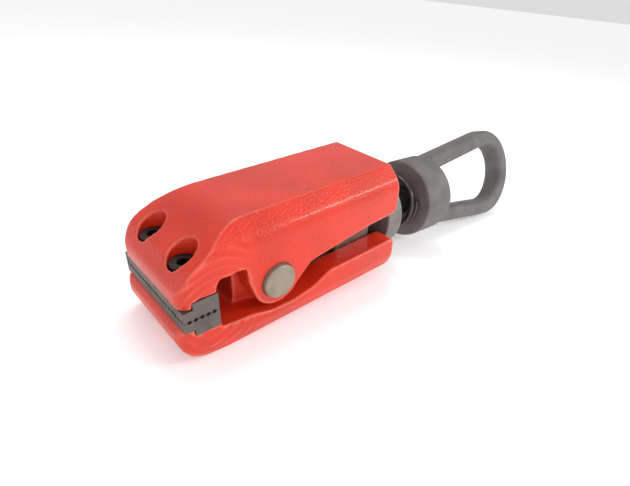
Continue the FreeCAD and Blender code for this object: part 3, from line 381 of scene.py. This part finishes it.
class ClampLooks(bpy.types.PropertyGroup):
    """Colours and gloss of the finishes."""

    paint: paint_prop("Paint", "Colour of the jaws' paint", (0.70, 0.032, 0.009))
    # Painted highlight: the lighter, pinker red laid on the convex edges of the jaws' paint.
    painted_edge_highlight: paint_prop("Painted edge highlight", "Lighter red painted on the edges as a highlight", (0.92, 0.30, 0.22))
    paint_gloss: FloatProperty(name="Paint roughness", description="Lowest roughness of the paint",
                               default=0.17, min=0.0, max=1.0)
    forging: paint_prop("Forging", "Colour of the eye", (0.165, 0.152, 0.142))
    insert: paint_prop("Inserts", "Colour of the toothed inserts", (0.15, 0.133, 0.118))
    blacking: paint_prop("Screws", "Colour of the blackened screws", (0.03, 0.027, 0.025))
    pin: paint_prop("Pin", "Colour of the cross pin", (0.33, 0.285, 0.225))
    plate: paint_prop("Plates", "Colour of the wear plates", (0.24, 0.225, 0.21))
    wedge: paint_prop("Wedge", "Colour of the wedge", (0.30, 0.28, 0.26))
    bar: paint_prop("Draw bar", "Colour of the draw bar", (0.035, 0.031, 0.028))
    plating: paint_prop("Plating", "Colour of the plated nut and washers", (0.55, 0.54, 0.51))
    disc: paint_prop("Disc", "Colour of the seat disc", (0.22, 0.205, 0.192))
    spring: paint_prop("Spring", "Colour of the spring", (0.07, 0.062, 0.057))


class ClampStage(bpy.types.PropertyGroup):
    """Camera and light."""

    place: FloatVectorProperty(name="Camera place", description="Where the camera stands", size=3,
                               default=(-0.23249, -0.18768, 0.16922), subtype="TRANSLATION", precision=5)
    aim: FloatVectorProperty(name="Camera aim", description="What the camera looks at", size=3,
                             default=(-0.03874, 0.01738, 0.00848), subtype="TRANSLATION", precision=5)
    roll: FloatProperty(name="Camera roll", description="Turn of the camera about its own line of sight",
                        default=math.radians(5.475), subtype="ANGLE")
    lens: FloatProperty(name="Lens", description="Focal length", default=26.608, unit="CAMERA")
    floor: paint_prop("Floor", "Colour of the floor", (0.93, 0.93, 0.93))
    sky: FloatProperty(name="Room light", description="Strength of the light from all round", default=0.72)


# ---------------------------------------------------------------------------------------------------------
# Pieces
# ---------------------------------------------------------------------------------------------------------
class CLAMP_OT_jaws(bpy.types.Operator):
    """Make the two painted jaws"""

    bl_idname = "clamp.jaws"
    bl_label = "Jaws"

    def execute(self, context):
        sizes = context.scene.clamp_sizes
        forge("upper_jaw", "upper_jaw_forging", sizes.jaw_grid, sizes.jaw_softness, ridged=True)
        forge("lower_jaw", "lower_jaw_forging", sizes.jaw_grid, sizes.jaw_softness, ridged=True)
        return {"FINISHED"}


class CLAMP_OT_eye(bpy.types.Operator):
    """Make the swivelling pull eye"""

    bl_idname = "clamp.eye"
    bl_label = "Pull eye"

    def execute(self, context):
        sizes = context.scene.clamp_sizes
        forge("pull_eye", "pull_eye_forging", sizes.eye_grid, sizes.eye_softness)
        return {"FINISHED"}


class CLAMP_OT_inserts(bpy.types.Operator):
    """Finish the toothed inserts and their screws"""

    bl_idname = "clamp.inserts"
    bl_label = "Inserts"

    def execute(self, context):
        for node in ("upper_insert", "lower_insert", "upper_insert_screws", "lower_insert_screws"):
            finish_node(node)
        return {"FINISHED"}


class CLAMP_OT_pivot(bpy.types.Operator):
    """Finish the cross pin and the pin that locks it"""

    bl_idname = "clamp.pivot"
    bl_label = "Cross pin"

    def execute(self, context):
        for node in ("pivot_pin", "pin_lock"):
            finish_node(node)
        return {"FINISHED"}


class CLAMP_OT_wedge(bpy.types.Operator):
    """Finish the wedge and the plates that it slides between"""

    bl_idname = "clamp.wedge"
    bl_label = "Wedge and plates"

    def execute(self, context):
        for node in ("wedge_block", "upper_ramp_plate", "upper_ramp_screws", "lower_guide_plate",
                     "lower_guide_screws"):
            finish_node(node)
        return {"FINISHED"}


class CLAMP_OT_draw_bar(bpy.types.Operator):
    """Finish the draw bar with its nut, washers and split pin"""

    bl_idname = "clamp.draw_bar"
    bl_label = "Draw bar"

    def execute(self, context):
        for node in ("draw_bar", "draw_bar_nut", "draw_bar_washer", "nut_split_pin", "swivel_washer"):
            finish_node(node)
        return {"FINISHED"}


class CLAMP_OT_spring(bpy.types.Operator):
    """Make the spring that the draw bar squeezes, as a plain copy at its rest length, and finish the disc
    that it stands on
    """

    bl_idname = "clamp.spring"
    bl_label = "Spring and disc"

    def execute(self, context):
        slide = next(j for j in frame["record"]["behaviour"]["joints"] if j["name"] == "draw_slide")
        fixed_end = slide["deforming_nodes"][0]["fixed_end_x_m"]
        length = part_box("compression_spring")[1][0] - fixed_end
        spring = start_from("compression_spring", "compression_spring_coils")
        bpy.ops.object.shade_smooth()
        hand_over(spring, "compression_spring")
        (length - slide["range_m"][1]) / length
        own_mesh(spring)
        finish_node("seat_disc")
        return {"FINISHED"}


# ---------------------------------------------------------------------------------------------------------
# Stage
# ---------------------------------------------------------------------------------------------------------
def soft_light(name, place, aim, width, height, power):
    """A flat softbox that points at a place."""
    bpy.ops.object.light_add(type="AREA", location=place)
    lamp = bpy.context.object
    lamp.name = name
    lamp.data.shape = "RECTANGLE"
    lamp.data.size = width
    lamp.data.size_y = height
    lamp.data.energy = power
    lamp.rotation_euler = (Vector(aim) - Vector(place)).to_track_quat("-Z", "Y").to_euler()


class CLAMP_OT_stage(bpy.types.Operator):
    """Make the floor, the lights and the camera"""

    bl_idname = "clamp.stage"
    bl_label = "Stage"

    def execute(self, context):
        look = context.scene.clamp_stage
        bpy.ops.object.select_all(action="DESELECT")
        bpy.ops.mesh.primitive_plane_add(size=FLOOR_SIZE, location=(0, 0, 0))
        floor = context.object
        floor.name = "floor"
        pale = Finish("pale_floor")
        patch = pale.noise(0.5, 2.0)
        pale.link("Base Color", pale.blend(patch * 0.1, colour(look.floor), shade(look.floor, 0.96)))
        pale.fixed(Roughness=0.9, Emission_Strength=0.24)
        floor.data.materials.append(pale.material)

        for name, place, width, height, power in SOFTBOXES:
            soft_light(name, place, LIT_PLACE, width, height, power)

        world = bpy.data.worlds.new("room")
        world.use_nodes = True
        back = next(n for n in world.node_tree.nodes if n.type == "BACKGROUND")
        back.inputs["Color"].default_value = (1.0, 1.0, 1.0, 1.0)
        back.inputs["Strength"].default_value = look.sky
        context.scene.world = world
        context.scene.view_settings.view_transform = "Standard"

        bpy.ops.object.camera_add(location=look.place)
        camera = context.object
        camera.name = "camera"
        sight = Vector(look.aim) - Vector(look.place)
        level = sight.to_track_quat("-Z", "Y").to_matrix()
        camera.rotation_euler = (level @ Matrix.Rotation(look.roll, 3, "Z")).to_euler()
        camera.data.lens = look.lens
        camera.data.sensor_width = 36.0
        camera.data.clip_start = 0.01
        camera.data.dof.use_dof = False
        context.scene.camera = camera
        return {"FINISHED"}


# ---------------------------------------------------------------------------------------------------------
# Add-on
# ---------------------------------------------------------------------------------------------------------
STEPS = (CLAMP_OT_jaws, CLAMP_OT_eye, CLAMP_OT_inserts, CLAMP_OT_pivot, CLAMP_OT_wedge, CLAMP_OT_draw_bar,
         CLAMP_OT_spring, CLAMP_OT_stage)
GROUPS = {"clamp_sizes": ClampSizes, "clamp_looks": ClampLooks, "clamp_stage": ClampStage}


class CLAMP_PT_panel(bpy.types.Panel):
    """The clamp's steps, sizes and colours"""

    bl_idname = "CLAMP_PT_panel"
    bl_label = "Pull Clamp"
    bl_space_type = "VIEW_3D"
    bl_region_type = "UI"
    bl_category = "Pull Clamp"

    def draw(self, context):
        for step in STEPS:
            self.layout.operator(step.bl_idname)
        for group in GROUPS:
            box = self.layout.box()
            values = getattr(context.scene, group)
            for key in values.__annotations__:
                box.prop(values, key)


def register():
    for kind in (*GROUPS.values(), *STEPS, CLAMP_PT_panel):
        bpy.utils.register_class(kind)
    for name, kind in GROUPS.items():
        setattr(bpy.types.Scene, name, PointerProperty(type=kind))


def unregister():
    for name in GROUPS:
        delattr(bpy.types.Scene, name)
    for kind in (CLAMP_PT_panel, *reversed(STEPS), *reversed(tuple(GROUPS.values()))):
        bpy.utils.unregister_class(kind)


def main():
    register()
    for step in STEPS:
        group, name = step.bl_idname.split(".")
        getattr(getattr(bpy.ops, group), name)()


if __name__ == "__main__":
    main()
